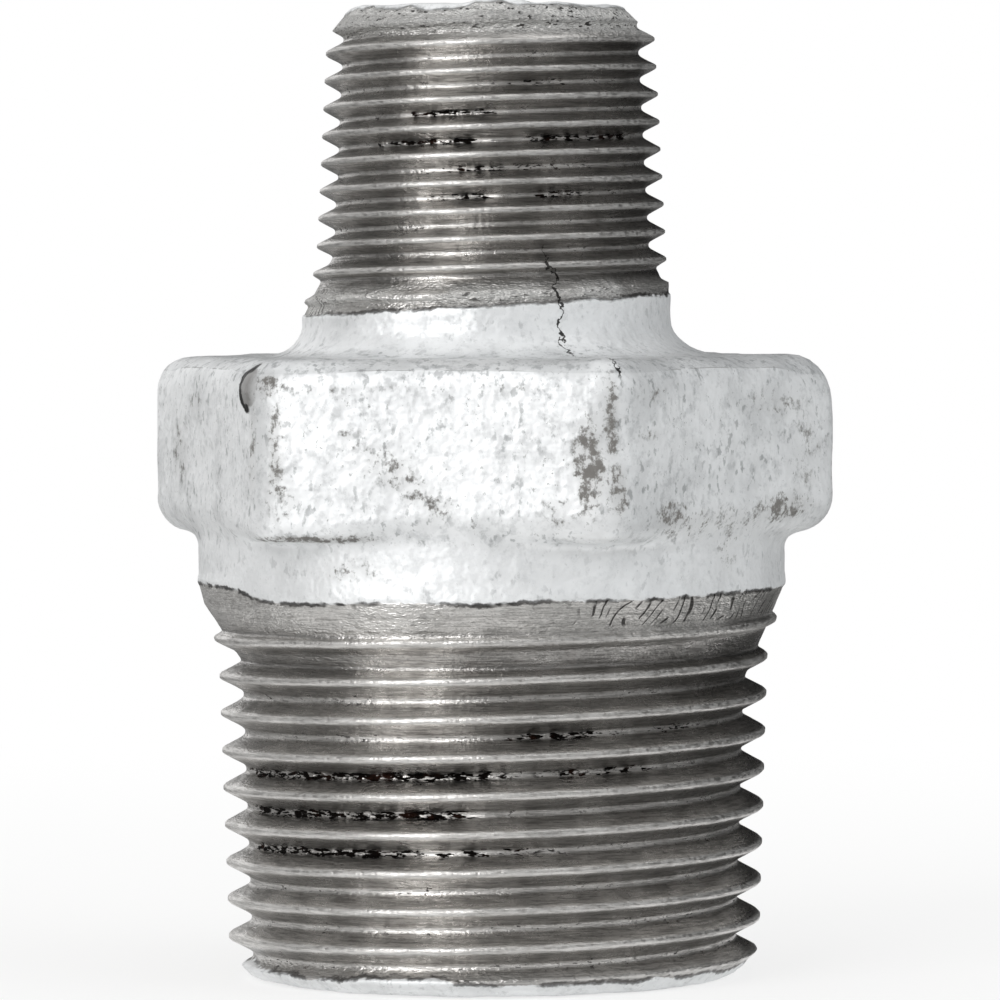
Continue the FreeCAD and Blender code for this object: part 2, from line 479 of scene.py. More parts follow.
# Rounding of the lower and the upper edge at each corner of the hexagon, from +X round towards +Y
LOWER_CORNERS = (1.85, 1.2, 1.5, 1.7, 0.85, 1.25)
UPPER_CORNERS = (2.1, 1.5, 1.8, 1.65, 1.6, 1.5)
# How sharp the fillet under each corner is, as a share of the fillet along the flats
CORNER_FILLETS = (0.62, 0.31, 0.5, 0.62, 0.19, 0.34)
# Degrees from a corner at which its own edge and its own fillet end, and at which they are full
EDGE_SPAN, FILLET_SPAN = (26, 4), (24, 8)
# Degrees from a corner at which the bevel along a flat starts and is full, where it starts as a share of
# the edge's height, and its swell in millimetres
FLAT_SPAN, BEVEL_START, BEVEL_SWELL = (6, 17), 0.88, 0.05
# How far the body's columns are drawn to the corners
COLUMN_PULL = 0.55
# Rows from the collar to the hexagon's upper edge, and the shares of that edge at which its own rows lie,
# close together at the ridge over the bevel
EVEN_ROWS = {"collar": 6, "fillet": 8, "lower edge": 8, "side": 17}
UPPER_ROWS = (0.0, 0.14, 0.28, 0.35, 0.375, 0.4, 0.52, 0.68, 0.84)
RIDGE = 0.375


@dataclass
class Casting:
    """The hexagon, the collar below it, the neck above it and the bore, in millimetres."""

    sizes: bpy.types.PropertyGroup
    collar_radius: float
    collar_shift: float

    def __post_init__(self):
        for name in self.sizes.__annotations__:
            value = getattr(self.sizes, name)
            setattr(self, name, value if name.endswith("bearing") else value / MM)

    def hexagon_radius(self, bearing, inset):
        """Distance from the axis to the rounded hexagon, drawn in evenly by an inset."""
        flat = self.across_flats / 2 - inset
        rounding = self.corner_radius - inset
        sixth = math.pi / 3
        off_corner = abs((bearing + sixth / 2) % sixth - sixth / 2)
        off_flat = sixth / 2 - off_corner
        if flat * math.tan(off_flat) <= (flat - rounding) * math.tan(sixth / 2):
            return flat / math.cos(off_flat)
        centre = (flat - rounding) / math.cos(sixth / 2)
        return centre * math.cos(off_corner) + math.sqrt(rounding**2 - (centre * math.sin(off_corner)) ** 2)

    def by_corner(self, bearing, usual, corners, span):
        """A size that is the usual one along the flats and differs from corner to corner."""
        return usual + sum(
            (corner - usual) * close_to(bearing, 60 * number, *span)
            for number, corner in enumerate(corners)
        )

    def rows(self):
        """(part of the profile, share along it) for each row from the collar to the neck."""
        rows = [(name, step / count) for name, count in EVEN_ROWS.items() for step in range(count)]
        rows += [("upper edge", share) for share in UPPER_ROWS]
        return rows + [("top", step / 8) for step in range(8)] + [("neck", step / 9) for step in range(10)]

    def profile(self, bearing, row):
        """(radius, height) of the casting at a bearing, on a row."""
        name, share = row
        outer = self.hexagon_radius(bearing, 0)
        lower = self.by_corner(bearing, self.edge_radius, LOWER_CORNERS, EDGE_SPAN)
        upper = self.by_corner(bearing, self.edge_radius, UPPER_CORNERS, EDGE_SPAN)
        if name in ("collar", "fillet", "lower edge"):
            return self.lower_profile(bearing, name, share, outer, lower)
        if name == "side":
            return outer, blend(self.hex_underside + lower, self.hex_top - upper, share)
        inner = self.hexagon_radius(bearing, upper)
        if name == "upper edge":
            return self.upper_edge(share, outer, inner, upper, self.flatness(bearing))
        foot = self.neck_foot + self.neck_flare
        if name == "top":
            return blend(inner, foot, share), self.hex_top
        turn = share * math.pi / 2
        shift = self.neck_shift * math.cos(bearing - self.shift_bearing) * ease(share, 0, 1)
        radius = foot - self.neck_flare * math.sin(turn) + shift
        return radius, self.hex_top + self.neck_fillet * (1 - math.cos(turn))

    def flatness(self, bearing):
        """0 at the hexagon's corners and 1 along its flats."""
        degrees = math.degrees(bearing) % 60
        return ease(min(degrees, 60 - degrees), *FLAT_SPAN)

    def shelf(self, bearing, row):
        """How much a row is the ridge over a bevel, and how much it is the shelf above the ridge, which is
        painted in shade.
        """
        name, share = row
        ridge = self.flatness(bearing) if row == ("upper edge", RIDGE) else 0.0
        if name == "neck":
            return ridge, 1 - ease(share, 0.0, 0.55)
        return ridge, float(name == "top" or (name == "upper edge" and share > RIDGE))

    def lower_profile(self, bearing, name, share, outer, edge):
        """The collar, the fillet over it and the rounded lower edge of the hexagon."""
        inner = self.hexagon_radius(bearing, edge)
        collar = self.collar_radius + self.collar_shift * math.cos(bearing - self.shift_bearing)
        ball = self.collar_fillet * self.by_corner(bearing, 1, CORNER_FILLETS, FILLET_SPAN)
        touch = math.asin(min(max((collar + ball - inner) / (edge + ball), 0.0), 1.0))
        fillet_start = self.hex_underside + edge - (edge + ball) * math.cos(touch)
        if name == "collar":
            return collar, blend(COLLAR_START, fillet_start, share)
        start = (blend(inner, outer, math.sin(touch)), self.hex_underside + edge * (1 - math.cos(touch)))
        if name == "fillet":
            back = (start[0] - collar) / ((outer - inner) * math.cos(touch) + 1e-9)
            corner = (collar, max(start[1] - back * edge * math.sin(touch), fillet_start))
            first, second = (1 - share) ** 2, 2 * share * (1 - share)
            ends = zip((collar, fillet_start), corner, start)
            return tuple(first * a + second * b + share**2 * c for a, b, c in ends)
        turn = blend(touch, math.pi / 2, share)
        return blend(inner, outer, math.sin(turn)), self.hex_underside + edge * (1 - math.cos(turn))

    def upper_edge(self, share, outer, inner, edge, flat):
        """The hexagon's upper edge: round at its corners, a bevel below a ridge along its flats."""
        turn = share * math.pi / 2
        round_edge = (blend(inner, outer, math.cos(turn)), self.hex_top - edge * (1 - math.sin(turn)))
        low, high = (outer, self.hex_top - edge * BEVEL_START), (inner, self.hex_top)
        ridge = (outer - self.bevel_width, self.hex_top - self.bevel_drop)
        if share < RIDGE:
            near, far, part = low, ridge, share / RIDGE
        else:
            near, far, part = ridge, high, (share - RIDGE) / (1 - RIDGE)
        swell = BEVEL_SWELL * math.sin(math.pi * part)
        bevelled = (blend(near[0], far[0], part) + swell, blend(near[1], far[1], part) + swell)
        return tuple(blend(a, b, flat) for a, b in zip(round_edge, bevelled))

    def corner_pull(self, row):
        """How strongly a row's columns gather at the hexagon's corners."""
        name, share = row
        if name == "collar":
            return ease(share, 0.0, 1.0)
        if name == "top":
            return 1 - ease(share, 0.2, 1.0)
        return 0.0 if name == "neck" else 1.0


def cast_body(casting):
    """The collar, hexagon and neck: a straight tube of rows is spun, then each row is shaped."""
    mesh = bmesh.new()
    rows = casting.rows()
    spin(mesh, [(SWEEP_RADIUS, 0, index) for index in range(len(rows))], BODY_COLUMNS, closed=True)
    layers = mark_layers(mesh)
    for vertex in mesh.verts:
        row = rows[round(vertex.co.z)]
        turned = math.atan2(vertex.co.y, vertex.co.x) % FULL_TURN
        sixths = turned / FULL_TURN * 6
        pulled = sixths - COLUMN_PULL * casting.corner_pull(row) * math.sin(FULL_TURN * sixths) / FULL_TURN
        bearing = pulled / 6 * FULL_TURN
        radius, height = casting.profile(bearing, row)
        vertex[layers["bare"]] = FULL_ZINC
        vertex[layers["ridge"]], vertex[layers["shoulder"]] = casting.shelf(bearing, row)
        vertex.co = polar(radius, bearing, height)
    return mesh


def straight(start, end, steps, count):
    """The (radius, height) points at some of the even steps from one point to another."""
    return [tuple(blend(a, b, step / count) for a, b in zip(start, end)) for step in steps]


def bore_lip(bore, share):
    """(radius, height) round the bore's lip, from the end face into the bore."""
    turn = share * math.pi / 2
    return bore + BORE_LIP * (1 - math.sin(turn)), BORE_LIP * (1 - math.cos(turn))


def bore_skin(casting, large, small):
    """The bore from one end face to the other, with the zinc's rounded lips."""
    top = casting.overall_length
    wide, narrow = casting.large_bore, casting.small_bore
    cone_start = casting.large_bore_length
    cone_end = top - casting.small_bore_length
    low_face, high_face = (end.face_radius + SHEET_START - RIM_GAP for end in (large, small))
    points = straight((low_face, 0.0), (wide + BORE_LIP, 0.0), range(4), 4)
    points += [bore_lip(wide, step / 4) for step in range(5)]
    points += straight((wide, BORE_LIP), (wide, cone_start), range(1, 16), 16)
    points += straight((wide, cone_start), (narrow, cone_end), range(7), 6)
    points += straight((narrow, cone_end), (narrow, top - BORE_LIP), range(1, 16), 16)
    points += [(radius, top - level) for radius, level in (bore_lip(narrow, 1 - s / 4) for s in range(5))]
    points += straight((narrow + BORE_LIP, top), (high_face, top), range(1, 4), 3)
    mesh = bmesh.new()
    spin(mesh, [(radius, 0, level) for radius, level in points], BORE_COLUMNS, closed=True)
    layers = mark_layers(mesh)
    for vertex in mesh.verts:
        vertex[layers["bare"]] = FULL_ZINC
    return mesh


def join(target, part):
    """Adds one mesh to another and frees it."""
    holder = bpy.data.meshes.new("holder")
    part.to_mesh(holder)
    part.free()
    target.from_mesh(holder)
    bpy.data.meshes.remove(holder)


def bridge(mesh, level, nearest, farthest, inward=0.0):
    """Closes the gap between two open rims near a height and between two radii.

    Where both rims lie in one plane, the inner one is held inward meanwhile.
    """
    rims = [
        edge
        for edge in mesh.edges
        if edge.is_boundary
        and all(
            abs(vertex.co.z - level) < RIM_LEVEL and nearest < vertex.co.xy.length < farthest
            for vertex in edge.verts
        )
    ]
    around = {vertex for edge in rims for vertex in edge.verts}
    middle = sum(vertex.co.xy.length for vertex in around) / len(around)
    inner = [vertex for vertex in around if vertex.co.xy.length < middle]
    bmesh.ops.translate(mesh, vec=(0, 0, inward), verts=inner)
    bmesh.ops.bridge_loops(mesh, edges=rims)
    bmesh.ops.translate(mesh, vec=(0, 0, -inward), verts=inner)


def closed_skin(casting, large, small):
    """The whole skin of the part as one closed mesh."""
    whole = bmesh.new()
    upper = threaded_sheet(small)
    turn_over = Matrix.Translation((0, 0, casting.overall_length)) @ Matrix.Rotation(math.pi, 4, "X")
    bmesh.ops.transform(upper, matrix=turn_over, verts=upper.verts)
    for part in (threaded_sheet(large), upper, cast_body(casting), bore_skin(casting, large, small)):
        join(whole, part)
    top = casting.overall_length
    bridge(whole, 0, casting.large_bore, large.face_radius, inward=1)
    joins = ((large.sheet_end, casting.collar_radius), (top - small.sheet_end, casting.neck_foot))
    for level, radius in joins:
        bridge(whole, level, radius - RIM_RADIUS, radius + RIM_RADIUS)
    bridge(whole, top, casting.small_bore, small.face_radius, inward=-1)
    bmesh.ops.recalc_face_normals(whole, faces=whole.faces)
    gaps = sum(not edge.is_manifold or not edge.is_contiguous for edge in whole.edges)
    if gaps:
        raise RuntimeError(f"the nipple's skin has {gaps} open or twisted edges")
    return whole


# Stains on the casting, and painted shadow along the hexagon's lower edge: bearing, height, half width in
# degrees, half height in millimetres and strength
STAINS_AND_SHADE = (
    (242.3, 26.1, 1.1, 1.9, 0.75),
    (242.3, 24.7, 1, 0.6, 1),
    (236.8, 26, 0.9, 2.3, 0.55),
    (240.5, 28.9, 2.8, 0.5, 0.8),
    (243, 23.6, 2.4, 1.2, 0.4),
    (250, 28.7, 9, 0.25, 0.35),
    (265, 28.75, 9, 0.25, 0.25),
    (282, 28.7, 6, 0.3, 0.4),
    (254, 26.4, 2.2, 0.6, 0.34),
    (258.5, 25.5, 2.6, 0.7, 0.46),
    (262.5, 24.7, 2.8, 0.8, 0.52),
    (266, 23.9, 2.6, 0.7, 0.52),
    (270, 23.1, 2.2, 0.6, 0.6),
    (267.8, 23.4, 1.2, 0.5, 0.75),
    # Painted shadow along the shelf under the hexagon's lower edge at the front left
    (248, 21.65, 9.5, 0.17, 0.95),
    # A soft darker band along the lower part of the faces round bearing 330
    (330, 22.5, 14, 0.6, 0.36),
    (295.9, 25, 2.1, 2, 1),
    (299.5, 27.3, 1.1, 1.9, 0.9),
    (300.6, 24, 1.6, 1.2, 0.9),
    (291, 23, 3, 0.7, 0.4),
    (313.2, 22.7, 4, 0.55, 0.9),
    (318, 22.2, 7, 0.6, 0.45),
    (307.7, 26.5, 3.6, 0.3, 0.5),
    (309, 28.5, 5, 0.5, 0.3),
    (331.8, 21, 3, 1, 0.45),
    (345.9, 22.9, 6.5, 0.6, 0.9),
    (344, 28, 8, 0.7, 0.35),
    (352, 25.5, 4, 2, 0.3),
    (206, 27.9, 5, 0.6, 0.35),
    (196, 25.6, 4, 1.6, 0.35),
    (252, 19.9, 6, 0.9, 0.35),
    (62, 26, 2.2, 3, 0.9),
    (121, 24.8, 2.6, 2, 0.7),
    (92, 25, 7, 1.6, 0.4),
    (30, 23.2, 8, 0.8, 0.5),
    (150, 27.2, 9, 0.9, 0.4),
    (178, 27.4, 2, 1.8, 0.6),
    (2, 24, 2.4, 2.2, 0.7),
)


def stained(bearing, height):
    """How much stain and painted shadow the casting has at a place, from 0 to 1."""
    most = 0.0
    for middle, level, half_width, half_height, strength in STAINS_AND_SHADE:
        away = math.hypot(degrees_apart(bearing, middle) / half_width, (height - level) / half_height)
        most = max(most, strength * ease(-away, -1.6, -0.5))
    return most


# Middle of the blister on the hexagon, its half width in degrees and in millimetres, and its half height
BLISTER_BEARING, BLISTER_LEVEL = 235.2, 28.75
BLISTER_WIDTH, BLISTER_REACH, BLISTER_HEIGHT = 3.9, 1.1, 0.95

# Bearing of the crack down the neck, and the heights it runs between
CRACK_BEARING, CRACK_FOOT, CRACK_TOP = 300.9, 29.3, 35.4

# Millimetres from bump to bump of the casting's waves, the zinc's ripples and the lumps on the upper face,
# and across and along the axis for the uneven cut and for the pits of the tears
WAVE_SPREAD, RIPPLE_SPREAD, FACE_SPREAD = 3.4, 0.95, 1.6
CUT_SPREAD, PIT_SPREAD = (1.3, 0.4), (0.55, 0.22)
# Heights in millimetres of the uneven cut and of the small lumps on the upper face
CUT_RISE, FACE_RISE = 0.022, 0.10
# Bearing of the large lump on the upper face, and the half angles at which it ends and is full
LUMP_BEARING, LUMP_END, LUMP_FULL = 284, 17, 4


def stretched(here, spread):
    """A place divided by the spread of the bumps across and along the axis."""
    across, along = spread
    return Vector((here.x / across, here.y / across, here.z / along))


def wear(mesh, casting, wear_sizes, large, small):
    """Moves the skin as the casting, the zinc and the torn threads do, and marks the stains and the painted
    shadow.
    """
    layers = mark_layers(mesh)
    names = ("cast_wave", "zinc_ripple", "zinc_coat", "lip_lump", "tear_depth", "blister")
    wave, ripple, coat, lump, tear, blister = (getattr(wear_sizes, name) / MM for name in names)
    top = casting.overall_length
    mesh.normal_update()
    moves = []
    for vertex in mesh.verts:
        here = vertex.co
        bearing = math.atan2(here.y, here.x)
        bare = vertex[layers["bare"]]
        zinc = ease(-bare, -0.05, 0.1)
        rise = zinc * wave * noise.noise(here / WAVE_SPREAD + Vector((3.1, 0, 0)))
        rise += zinc * ripple * noise.noise(here / RIPPLE_SPREAD)
        rise += zinc * coat * (1 - 0.7 * ease(-bare, 0.0, 1.2))
        rise += (1 - zinc) * CUT_RISE * noise.noise(stretched(here, CUT_SPREAD))
        torn = vertex[layers["torn"]]
        if torn:
            pits = noise.noise(stretched(here, PIT_SPREAD))
            finer = (large.pitch if here.z < casting.hex_top else small.pitch) / large.pitch
            rise -= torn * tear * finer * (0.25 + 0.75 * ease(pits, -0.25, 0.45))
        move = vertex.normal * rise
        if here.z > top - 1.3 and here.xy.length > casting.small_bore - 0.05:
            height = lump * close_to(bearing, LUMP_BEARING, LUMP_END, LUMP_FULL)
            height += FACE_RISE * noise.noise(here / FACE_SPREAD + Vector((0, 9, 0)))
            move.z += height * ease(here.z, top - 1.2, top - 0.2)
        if COLLAR_START < here.z < casting.hex_top:
            vertex[layers["stained"]] = stained(bearing, here.z)
            across = degrees_apart(bearing, BLISTER_BEARING) / BLISTER_WIDTH
            swell = math.hypot(across, (here.z - BLISTER_LEVEL) / BLISTER_HEIGHT)
            move += vertex.normal * (blister * ease(-swell, -1.1, -0.5))
        moves.append((vertex, move))
    for vertex, move in moves:
        vertex.co += move


class Recipe:
    """Short calls that add nodes to a material or a world and wire them up."""

    def __init__(self, owner):
        owner.use_nodes = True
        self.tree = owner.node_tree
        self.tree.nodes.clear()

    def add(self, kind, **settings):
        node = self.tree.nodes.new("ShaderNode" + kind)
        for name, value in settings.items():
            setattr(node, name, value)
        return node

    def feed(self, node, values):
        """Wires or sets each value at the input that has its name or number, and returns the node."""
        for name, value in values.items():
            if isinstance(value, bpy.types.NodeSocket):
                self.tree.links.new(value, node.inputs[name])
            else:
                node.inputs[name].default_value = (*value, 1.0) if isinstance(value, Color) else value
        return node

    def math(self, operation, *values):
        return self.feed(self.add("Math", operation=operation), dict(enumerate(values))).outputs[0]

    def fold(self, operation, values):
        """Applies an operation to two values, then to the result and each further value."""
        result = values[0]
        for value in values[1:]:
            result = self.math(operation, result, value)
        return result

    def total(self, *values):
        return self.fold("ADD", values)

    def product(self, *values):
        return self.fold("MULTIPLY", values)

    def most(self, *values):
        return self.fold("MAXIMUM", values)

    def less(self, value, taken):
        return self.math("SUBTRACT", value, taken)

    def rise(self, value, low, high):
        """0 where a value is below low, 1 above high. With low above high it falls instead."""
        falls = low > high
        ends = {"From Min": min(low, high), "From Max": max(low, high)}
        ends |= {"To Min": float(falls), "To Max": float(not falls)}
        node = self.add("MapRange", interpolation_type="SMOOTHSTEP")
        return self.feed(node, {"Value": value, **ends}).outputs["Result"]

    def number(self, factor, first, second):
        node = self.add("Mix", data_type="FLOAT")
        return self.feed(node, {0: factor, 2: first, 3: second}).outputs[0]

    def tint(self, factor, first, second):
        node = self.add("Mix", data_type="RGBA")
        return self.feed(node, {0: factor, 6: first, 7: second}).outputs[2]

    def noise(self, place, scale, detail, roughness, stretch=None):
        if stretch:
            turned = self.feed(self.add("VectorMath", operation="MULTIPLY"), {0: place, 1: stretch})
            place = turned.outputs[0]
        values = {"Vector": place, "Scale": scale, "Detail": detail, "Roughness": roughness}
        return self.feed(self.add("TexNoise"), values).outputs[0]

    def show(self, kind, shader):
        """Ends a material or a world with its shader."""
        self.feed(self.add("Output" + kind), {"Surface": shader.outputs[0]})

    def mark(self, name):
        return self.add("Attribute", attribute_name=name).outputs["Fac"]


# The finish's noises: scale in a millimetre, octaves past the first, roughness, and the stretch of some
NOISES = {
    "fray": (2.6, 2, 0.6),
    "patch": (0.42, 2, 0.6),
    "lumps": (0.75, 2, 0.62),
    "cloth": (1.5, 3, 0.7),
    "clouds": (0.3, 3, 0.64),
    "dabs": (2.1, 3, 0.62, (1.25, 1.25, 0.8)),
    "fine": (3.4, 3, 0.75, (1.15, 1.15, 0.85)),
    "beads": (4, 0, 0.5),
    "grit": (3.2, 2, 0.78, (1, 1, 1.9)),
    "streaks": (1.2, 2, 0.75, (0.5, 0.5, 10)),
    "shreds": (2.3, 2, 0.68, (0.75, 0.75, 2.6)),
    "loose": (2.6, 3, 0.7, (0.9, 0.9, 2.2)),
    "scuffs": (1.6, 2, 0.8, (1, 1, 2.6)),
    "drift": (0.6, 0, 0.5),
    "gaps": (1.3, 0, 0.5),
    "wander": (1.1, 3, 0.65),
}


class Skin:
    """What the parts of the finish share: place in millimetres, bearing and the marks on the mesh."""

    def __init__(self, recipe, finish, wear_sizes):
        n = self.n = recipe
        self.finish, self.wear = finish, wear_sizes
        metres = n.add("TexCoord").outputs["Object"]
        scaled = n.feed(n.add("VectorMath", operation="SCALE"), {0: metres, "Scale": 1 / MM})
        self.place = scaled.outputs[0]
        self.made = {}
        x, y, self.height = n.feed(n.add("SeparateXYZ"), {0: self.place}).outputs
        self.bearing = n.math("ARCTAN2", y, x)
        self.radius = n.math("SQRT", n.total(n.product(x, x), n.product(y, y)))
        self.bare, self.rough_end = n.mark("bare"), n.mark("rough")
        self.gap = n.total(self.bare, n.product(n.less(self.noise("fray"), 0.5), 0.3))

    def noise(self, name):
        """One of the named noises, made once and shared by all that ask for it."""
        if name not in self.made:
            self.made[name] = self.n.noise(self.place, *NOISES[name])
        return self.made[name]

    def around(self, degrees):
        """Millimetres round the part from a bearing, positive anticlockwise from above."""
        n = self.n
        off = n.less(self.bearing, math.radians(degrees))
        return n.product(n.math("WRAP", off, math.pi, -math.pi), self.radius)


def zinc_finish(skin):
    """Colour, metal, roughness and height of the zinc: clouds, mottling, pores and stains, with a painted
    shadow along the hexagon's lower edge and painted shade on the upward-facing shelf round its top.
    """
    n, finish = skin.n, skin.finish
    clouds = n.rise(skin.noise("clouds"), 0.42, 0.64)
    mottle = n.rise(skin.noise("cloth"), 0.48, 0.68)
    dabs = n.rise(skin.noise("dabs"), 0.56, 0.66)
    dab_field = n.rise(skin.noise("patch"), 0.42, 0.58)
    fine = skin.noise("fine")
    pores = n.product(n.rise(fine, 0.62, 0.69), n.number(n.rise(skin.noise("patch"), 0.6, 0.4), 0.12, 0.9))
    dull = n.total(
        n.product(clouds, 0.32), n.product(mottle, 0.38), n.product(dabs, n.number(dab_field, 0.2, 0.75))
    )
    clean = n.most(n.rise(skin.height, 21.7, 21.1), n.rise(skin.height, 30.3, 30.8))
    pores = n.product(pores, n.number(clean, 1.0, 0.3))
    # Painted shade on the upward-facing shelf round the top of the hexagon and at the foot of the neck,
    # added to the dull clouds
    shelf = n.product(n.mark("shoulder"), n.number(mottle, 0.2, 0.42))
    dull = n.total(n.product(dull, n.number(clean, 1.0, 0.55)), shelf)
    colour = n.tint(n.math("MINIMUM", dull, 1.0), finish.zinc, finish.zinc_shade)
    ridge = n.product(n.rise(n.mark("ridge"), 0.3, 0.85), n.rise(skin.noise("lumps"), 0.4, 0.52))
    pores = n.most(pores, ridge)
    colour = n.tint(n.product(pores, 0.75), colour, finish.speck)
    # This mark holds the real stains and the painted shadow under the hexagon's lower edge
    mark = n.mark("stained")
    grain = n.total(skin.noise("cloth"), n.product(fine, 0.8))
    blotch = n.total(mark, n.product(n.less(grain, 0.9), 3.0))
    stain = n.product(n.rise(blotch, 0.25, 1.15), n.rise(mark, 0.05, 0.35))
    stain = n.most(n.product(stain, 0.95), n.product(mark, 0.34))
    colour = n.tint(stain, colour, finish.stain)
    # Pores, stains and the painted shadow make the zinc less metallic
    dirt = n.most(pores, stain)
    metal = n.product(finish.zinc_metal, n.less(1.0, n.product(dirt, 0.8)))
    rough = n.total(finish.zinc_roughness, n.product(mottle, 0.14), n.product(stain, 0.25))
    height = n.total(n.product(skin.noise("lumps"), 0.115), n.product(skin.noise("beads"), 0.018))
    return colour, metal, rough, height


def iron_finish(skin):
    """Colour, metal, roughness and height of the cut iron: streaks, torn roots and the die's marks, with
    painted shade on the flanks and painted highlights on the crests and roots.
    """
    n, finish = skin.n, skin.finish
    grit, streaks, scuffs = (skin.noise(name) for name in ("grit", "streaks", "scuffs"))
    lengths = n.rise(skin.noise("patch"), 0.42, 0.62)
    shade = n.total(n.product(n.rise(streaks, 0.44, 0.62), 0.65), n.product(lengths, 0.35))
    shade = n.total(shade, n.product(n.rise(grit, 0.52, 0.68), 0.3))
    colour = n.tint(n.math("MINIMUM", shade, 1.0), finish.iron, finish.iron_shade)
    tear, groove = n.mark("torn"), n.mark("groove")
    torn_level = n.total(n.product(tear, 0.8), n.product(n.less(skin.noise("shreds"), 0.5), 4.2))
    torn = n.product(n.rise(torn_level, 0.5, 0.72), n.rise(tear, 0.03, 0.3))
    deep = n.rise(groove, 0.62, 0.95)
    loose = n.rise(skin.noise("loose"), 0.585, 0.65)
    loose = n.product(loose, deep, n.number(n.rise(skin.noise("patch"), 0.6, 0.4), 0.25, 0.85))
    # Painted shade on the thread's flanks, fading out on the crests and at the very bottom of the roots
    groove_shade = n.product(n.rise(groove, 0.2, 0.5), n.rise(groove, 1.0, 0.9), 0.27)
    # Paler, less metallic bands on the crests and along the roots: partly wear, partly painted highlights
    worn_and_highlit = n.most(n.rise(groove, 0.2, 0.05), n.product(n.rise(groove, 0.95, 0.99), 0.5))
    worn_and_highlit = n.product(worn_and_highlit, n.number(n.rise(grit, 0.40, 0.58), 0.2, 1.0))
    scar = n.product(n.rise(scuffs, 0.6, 0.66), skin.rough_end, 0.8)
    drift = n.product(skin.noise("drift"), 22.0)
    slant = n.total(n.product(skin.bearing, 150.0), n.product(skin.height, -5.2), drift)
    kept = n.rise(skin.noise("gaps"), 0.36, 0.54)
    nicks = n.product(n.rise(n.math("SINE", slant), 0.6, 0.92), n.rise(n.mark("chatter"), 0.15, 0.6), kept)
    dirt = n.most(torn, loose, scar, n.product(nicks, 0.8))
    ruddy = n.rise(skin.noise("lumps"), 0.54, 0.64)
    # Colour of the dirt in the torn roots, also used for the painted shade on the flanks
    grime_and_shade = n.tint(ruddy, finish.torn, finish.rust)
    # The scuffed ends, and through the bands above the painted highlights on crests and roots
    scuffed = n.most(skin.rough_end, n.product(worn_and_highlit, 0.5))
    pale = n.tint(n.product(scuffed, 0.85), colour, finish.smear)
    colour = n.tint(n.most(dirt, groove_shade), pale, grime_and_shade)
    metal = n.less(1.0, n.product(scuffed, n.less(0.55, n.product(dirt, 0.55))))
    rough = n.total(
        finish.iron_roughness, n.product(shade, 0.14), n.product(dirt, 0.4), n.product(scuffed, 0.2)
    )
    height = n.total(
        n.product(streaks, 0.022),
        n.product(grit, 0.05),
        n.product(tear, n.product(grit, -0.2)),
        n.product(nicks, -skin.wear.chatter_depth / MM),
        n.product(scuffs, skin.rough_end, 0.55),
    )
    return colour, metal, rough, height


def neck_crack(skin):
    """A thin crack that wanders down the neck."""
    n = skin.n
    wander = n.product(n.less(skin.noise("wander"), 0.5), 1.9)
    wander = n.total(wander, n.product(n.rise(skin.height, 33.2, 35.2), 0.36))
    away = n.math("ABSOLUTE", n.total(skin.around(CRACK_BEARING), wander))
    half_width = n.number(n.rise(skin.noise("lumps"), 0.42, 0.6), 0.035, 0.1)
    crack = n.rise(n.less(away, half_width), 0.02, -0.02)
    crack = n.product(crack, n.rise(skin.height, CRACK_FOOT - 0.2, CRACK_FOOT + 0.2))
    return n.product(crack, n.rise(skin.height, CRACK_TOP + 0.3, CRACK_TOP - 0.3))


def blister_marks(skin):
    """The painted shadow in the gap under one side of the blister, and the darker zinc over that side."""
    n = skin.n
    across = n.product(skin.around(BLISTER_BEARING), 1.0 / BLISTER_REACH)
    upward = n.product(n.less(skin.height, BLISTER_LEVEL), 1.0 / BLISTER_HEIGHT)
    out = n.math("SQRT", n.total(n.product(across, across), n.product(upward, upward)))
    out = n.total(out, n.product(n.less(skin.noise("cloth"), 0.5), 0.45))
    outside = n.rise(skin.radius, 13.2, 13.6)
    # Painted shadow along the rim of the blister on one side
    blister_shadow = n.rise(n.math("ABSOLUTE", n.less(out, 1.0)), 0.24, 0.15)
    blister_shadow = n.product(blister_shadow, n.rise(across, 0.15, -0.1), outside)
    return blister_shadow, n.product(n.rise(out, 1.0, 0.85), n.rise(across, 1.1, 0.1), outside)


def galvanised_iron(finish, wear_sizes):
    """Cloudy zinc with pores, stains and painted shade, and bright cut iron with tool marks, painted shade
    and painted highlights where the coat is gone.
    """
    material = bpy.data.materials.new("galvanised_iron")
    n = Recipe(material)
    skin = Skin(n, finish, wear_sizes)
    iron = n.rise(skin.gap, -0.02, 0.02)
    edge = n.math("ABSOLUTE", n.less(skin.gap, 0.02))
    seam = n.product(n.rise(edge, 0.15, 0.05), n.rise(skin.noise("lumps"), 0.40, 0.52))
    seam = n.product(seam, n.less(1.0, n.product(skin.rough_end, 0.7)))
    blister_shadow, darker_side = blister_marks(skin)
    # The seam, the crack and the painted shadow under the blister, all in the dark dirt colour
    gash_and_shadow = n.most(n.product(seam, 0.93), n.product(neck_crack(skin), 0.9), blister_shadow)

    *zinc_parts, zinc_height = zinc_finish(skin)
    *iron_parts, iron_height = iron_finish(skin)
    parts = zip((n.tint, n.number, n.number), zinc_parts, iron_parts)
    base, metal, rough = (mix(iron, zinc, cut) for mix, zinc, cut in parts)
    # Darker zinc over the same side of the blister
    base = n.tint(n.product(darker_side, 0.75), base, finish.stain)
    base = n.tint(gash_and_shadow, base, finish.torn)
    level = n.number(n.rise(skin.bare, -0.05, 0.05), zinc_height, n.total(iron_height, -0.05))
    bump = n.feed(n.add("Bump"), {"Strength": 1.0, "Distance": MM, "Height": level})
    values = {"Base Color": base, "Metallic": n.most(metal, gash_and_shadow), "Roughness": rough}
    n.show("Material", n.feed(n.add("BsdfPrincipled"), {**values, "Normal": bump.outputs[0]}))
    return material


